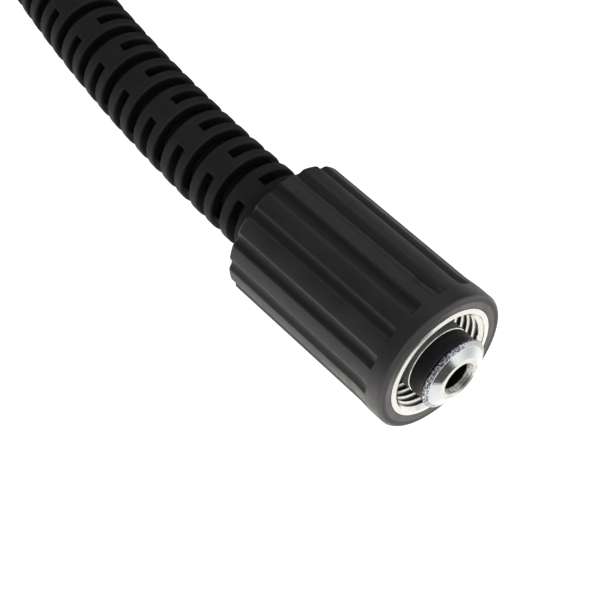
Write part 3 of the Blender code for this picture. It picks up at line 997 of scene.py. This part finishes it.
STREAK_SPOT = (0.0048, 0.0024, -0.0036)
STREAK_REACH = (0.0010, 0.0024)
SMEAR_REACH = (0.0010, 0.0021)
BLOTCH_REACH = (0.0040, 0.0070)
SMOOTH_SPOT = (0.0036, 0.0063, 0.0041)
SMOOTH_REACH = (0.0020, 0.0060)
GREY_SPOT = (0.0042, 0.0028, 0.0054)
GREY_REACH = (0.0008, 0.0030)
SHANK_RADII = (0.0066, 0.0067)
SHANK_HIGHLIGHT_RADII = (0.0069, 0.0070)
SHANK_HIGHLIGHT_STATIONS = (GROOVE_BACK - 0.00028, GROOVE_BACK - 0.00020)
SHANK_HIGHLIGHT_END = (GROOVE_BACK, GROOVE_BACK + 0.0001)
SHANK_STATIONS = (GROOVE_BACK - 0.00028, GROOVE_BACK - 0.00016)
BORE_SHADE_RADII = (0.00320, 0.00328)
BORE_SHADE_STATIONS = (0.00372, 0.00382)


def turned_face(surface, ahead):
    """The tip's face and countersink: tool lines, grey blotches, and one spot worn dark."""
    face = surface.falling(surface.distance(), NOSE_TIP_RADIUS - 0.0001,
                           NOSE_TIP_RADIUS + 0.00005)
    sunk = surface.times(surface.falling(surface.distance(), COUNTERSINK_RADIUS - 0.00012,
                                         COUNTERSINK_RADIUS - 0.00004), ahead)
    surface.tint(surface.times(face, ahead), (0.53, 0.54, 0.525))
    surface.tint(sunk, (0.72, 0.73, 0.69))
    near_spot = surface.distance_from(STREAK_SPOT)
    blotches = surface.times(surface.rising(surface.noise(2300.0, 4.0, 0.6), 0.44, 0.58, 0.75),
                             surface.ranged(near_spot, *BLOTCH_REACH, 1.0, 0.15))
    surface.tint(surface.times(face, blotches), (0.20, 0.205, 0.185))
    streaks = surface.times(surface.rising(surface.turning_lines(4600.0), 0.36, 0.50),
                            surface.ranged(near_spot, *STREAK_REACH, 0.97, 0.12))
    surface.tint(surface.times(face, streaks), (0.10, 0.105, 0.095))
    smear = surface.times(surface.falling(near_spot, *SMEAR_REACH, 0.85),
                          surface.ranged(surface.turning_lines(5200.0), 0.35, 0.55, 0.50, 1.0))
    surface.tint(surface.times(face, smear), (0.07, 0.073, 0.065))
    surface.roughen_more(face, 0.34)
    surface.roughen_more(sunk, 0.52)
    surface.bump(surface.times(face, surface.turning_lines(6000.0)), 0.5, 0.00006)


def worked_rim(surface, ahead):
    """The nose disc's rough rim: pale, specked dark blue-grey, and smoother at one side."""
    rim = surface.rising(surface.distance(), RIM_INNER - 0.00008, RIM_INNER + 0.00008)
    band = surface.times(rim, ahead)
    surface.tint(band, (0.52, 0.545, 0.57))
    from_smooth = surface.distance_from(SMOOTH_SPOT)
    specks = surface.times(surface.falling(surface.noise(3000.0, 2.0, 0.5), 0.47, 0.56, 0.97),
                           surface.ranged(from_smooth, *SMOOTH_REACH, 0.25, 1.0))
    surface.tint(surface.times(band, specks), (0.06, 0.075, 0.11))
    smooth = surface.falling(from_smooth, *SMOOTH_REACH, 0.85)
    surface.tint(surface.times(band, smooth), (0.24, 0.25, 0.25))
    surface.roughen_more(band, 0.28)
    surface.bump(surface.times(band, surface.noise(2300.0, 3.0, 0.6)), 0.8, 0.00016)


def dull_shank(surface):
    """The shank behind the groove, dull and blotched; a painted highlight along its front edge."""
    shank = surface.times(surface.rising(surface.distance(), *SHANK_RADII),
                          surface.falling(surface.station(), *SHANK_STATIONS))
    surface.tint(shank, (0.34, 0.35, 0.34))
    dull = surface.rising(surface.noise(2500.0, 3.0), 0.45, 0.65, 0.7)
    surface.tint(surface.times(shank, dull), (0.15, 0.155, 0.15))
    surface.roughen_more(shank, 0.55)
    # painted highlight: a bright, smoother band on the shank's front edge, by the seal
    edge = surface.times(surface.rising(surface.distance(), *SHANK_HIGHLIGHT_RADII),
                         surface.rising(surface.station(), *SHANK_HIGHLIGHT_STATIONS))
    edge = surface.times(edge, surface.falling(surface.station(), *SHANK_HIGHLIGHT_END))
    surface.tint(edge, (0.85, 0.86, 0.85))
    surface.roughen_more(edge, 0.30)


def paint_bore_shade(surface):
    """Painted shade: the bore tinted black behind the countersink's edge."""
    bore_shade = surface.times(surface.falling(surface.distance(), *BORE_SHADE_RADII),
                         surface.falling(surface.station(), *BORE_SHADE_STATIONS))
    # painted shade deep in the bore
    surface.tint(bore_shade, (0.012, 0.012, 0.012))
    surface.roughen_more(bore_shade, 0.6)


def nose_zinc():
    """Zinc plate: turned face, smoother cone, worked rim, dull shank, painted shade in the bore.
    """
    surface = plated_metal("zinc_plate", (0.43, 0.455, 0.465), 0.12, 0.19, 0.14)
    ahead = surface.rising(surface.station(), NOSE_BACK - 0.0002, NOSE_BACK)
    grey_part = surface.falling(surface.distance_from(GREY_SPOT), *GREY_REACH, 0.75)
    surface.tint(surface.times(grey_part, ahead), (0.24, 0.27, 0.28))
    turned_face(surface, ahead)
    worked_rim(surface, ahead)
    dull_shank(surface)
    paint_bore_shade(surface)
    return surface.material


# Floor and light

FLOOR_SIZE = 6.0
FLOOR_HEIGHT = -0.0002
FLOOR_GREY = 0.35
FLOOR_GLOW = 1.07
FLOOR_TINT = (1.0, 0.985, 0.955)
CARD_GLOW = 1.66
CARD_TINT = (1.0, 0.97, 0.925)
DIM_GLOW = 0.72
FLAG_GLOW = 0.13
SKY_BASE = 0.045
SKY_TINT = (0.98, 0.985, 1.03)
# Soft glows of the sky: direction, the cosines between which each rises, and its strength
SKY_GLOWS = [((-0.48, 0.41, 0.78), 0.80, 0.93, 0.50),
             ((0.42, -0.42, 0.80), 0.88, 0.97, 0.70),
             ((0.58, -0.75, 0.32), 0.88, 0.97, 1.60),
             ((0.58, 0.75, 0.32), 0.88, 0.97, 1.60)]
KEY_PLACE = (1.1, 0.1, 0.9)
KEY_SIZE = 0.9
KEY_POWER = 5.0


def flat_stage(name, corners, height, grey, glow, tint):
    """Level card with an even glow of its own; corners are (x, y) in turn."""
    mesh = bpy.data.meshes.new(name)
    mesh.from_pydata([(x, y, height) for x, y in corners], [], [tuple(range(len(corners)))])
    made = new_object(name, mesh)
    surface = Surface(name, (grey, grey, grey), 0.9)
    set_inputs(surface.shader, {"Emission Color": (*tint, 1.0), "Emission Strength": glow,
                                "Specular IOR Level": 0.0})
    mesh.materials.append(surface.material)
    return made


def oblong(low_x, low_y, high_x, high_y):
    """Corners of a level rectangle, in turn."""
    return [(low_x, low_y), (high_x, low_y), (high_x, high_y), (low_x, high_y)]


# Studio cards that show only in reflections: corners, height, grey and glow
CARDS = {
    "near_card": (oblong(0.045, -0.050, 0.0955, 0.070), 0.0003, 0.35, CARD_GLOW),
    "far_card": (oblong(0.0955, 0.000, 0.360, 0.160), 0.0003, 0.35, CARD_GLOW),
    "front_flag": ([(0.096, -0.040), (0.340, -0.050), (0.340, 0.058), (0.096, 0.014)],
                   0.0004, 0.01, FLAG_GLOW),
    # painted shadow: a dark card where the coupling's shadow lies on the floor, seen only in
    # reflections
    "painted_shadow_flag": (oblong(-0.090, 0.014, 0.0445, 0.066), 0.0004, 0.01, FLAG_GLOW),
    "left_card": (oblong(-0.500, -0.600, 0.044, -0.048), 0.0003, 0.2, DIM_GLOW),
}


def make_floor():
    """Pale floor, and the cards that only reflections see."""
    half = FLOOR_SIZE / 2.0
    flat_stage("floor", oblong(-half, -half, half, half), FLOOR_HEIGHT, FLOOR_GREY, FLOOR_GLOW,
               FLOOR_TINT)
    for name, (corners, height, grey, glow) in CARDS.items():
        made = flat_stage(name, corners, height, grey, glow, CARD_TINT)
        made.visible_camera = False
        made.visible_diffuse = False
        made.visible_shadow = False


def sky_glow(tree, direction, towards, low, high, strength):
    """One soft round glow of the sky."""
    facing = tree.nodes.new("ShaderNodeVectorMath")
    facing.operation = "DOT_PRODUCT"
    facing.inputs[1].default_value = Vector(towards).normalized()
    tree.links.new(direction, facing.inputs[0])
    glow = tree.nodes.new("ShaderNodeMapRange")
    glow.interpolation_type = "SMOOTHSTEP"
    set_inputs(glow, {"From Min": low, "From Max": high, "To Min": 0.0, "To Max": strength})
    tree.links.new(facing.outputs["Value"], glow.inputs["Value"])
    return glow.outputs["Result"]


def make_sky():
    """Dim studio with soft glows; the camera itself sees a plain white backdrop."""
    world = bpy.data.worlds.new("studio")
    world.use_nodes = True
    tree = world.node_tree
    light = tree.nodes["Background"]
    light.inputs["Color"].default_value = (*SKY_TINT, 1.0)
    direction = tree.nodes.new("ShaderNodeTexCoord").outputs["Generated"]
    level = None
    for glow in SKY_GLOWS:
        total = tree.nodes.new("ShaderNodeMath")
        total.operation = "ADD"
        tree.links.new(sky_glow(tree, direction, *glow), total.inputs[0])
        if level is None:
            total.inputs[1].default_value = SKY_BASE
        else:
            tree.links.new(level, total.inputs[1])
        level = total.outputs["Value"]
    tree.links.new(level, light.inputs["Strength"])
    backdrop = tree.nodes.new("ShaderNodeBackground")
    backdrop.inputs["Color"].default_value = (1.0, 1.0, 1.0, 1.0)
    seen = tree.nodes.new("ShaderNodeLightPath").outputs["Is Camera Ray"]
    mix = tree.nodes.new("ShaderNodeMixShader")
    tree.links.new(seen, mix.inputs["Fac"])
    tree.links.new(light.outputs["Background"], mix.inputs[1])
    tree.links.new(backdrop.outputs["Background"], mix.inputs[2])
    tree.links.new(mix.outputs["Shader"], tree.nodes["World Output"].inputs["Surface"])
    bpy.context.scene.world = world


def make_key_light():
    """Soft square light from the front of the near coupling."""
    light = bpy.data.lights.new("key_front", "AREA")
    light.shape = "SQUARE"
    light.size = KEY_SIZE
    light.energy = KEY_POWER
    made = new_object("key_front", light)
    made.location = KEY_PLACE
    made.rotation_mode = "QUATERNION"
    made.rotation_quaternion = (-Vector(KEY_PLACE)).to_track_quat("-Z", "Y")


def dress(prefix, place, nut, side, finishes):
    """One coupling: what each piece rides on and stands for, its slot and its material."""
    zinc = finishes["zinc"]
    table = [
        (make_grip(prefix), nut, "_nut_grip", "moulded_grip", finishes["plastic"]),
        (make_insert(prefix), nut, "_nut_insert", "thread_metal", finishes["steel"]),
        (make_nipple(prefix), "hose", "_nipple", "nipple_metal", zinc),
        (make_seal(prefix), "hose", "_seal_ring", "seal_rubber", finishes["rubber"]),
        (make_sleeve(prefix, side), "hose", "_bend_sleeve", "sleeve_plastic",
         sleeve_plastic(side)),
    ]
    pieces = []
    for made, body, node, slot, finish in table:
        made.matrix_world = place
        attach(made, body)
        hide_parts(prefix + node)
        made.data.materials.append(finish)
        pieces.append(made)
    for node, finish in (("_crimp_ferrule", zinc), ("_hose_end", finishes["cover"])):
        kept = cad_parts[prefix + node]
        kept.data.materials.clear()
        kept.data.materials.append(finish)
        pieces.append(kept)
    return pieces


def main():
    make_camera()
    hose, route, run = make_hose()
    finishes = {"plastic": moulded_plastic(), "steel": thread_steel(), "zinc": nose_zinc(),
                "rubber": seal_rubber(), "cover": hose_cover(run)}
    hose.data.materials.append(finishes["cover"])
    dress("near", NEAR_PLACE, "near_nut", 1, finishes)
    far = dress("far", FAR_PLACE, "far_nut", 0, finishes)
    make_floor()
    make_sky()
    make_key_light()
    settings = bpy.context.scene.view_settings
    settings.view_transform = "Standard"
    settings.look = "None"


main()
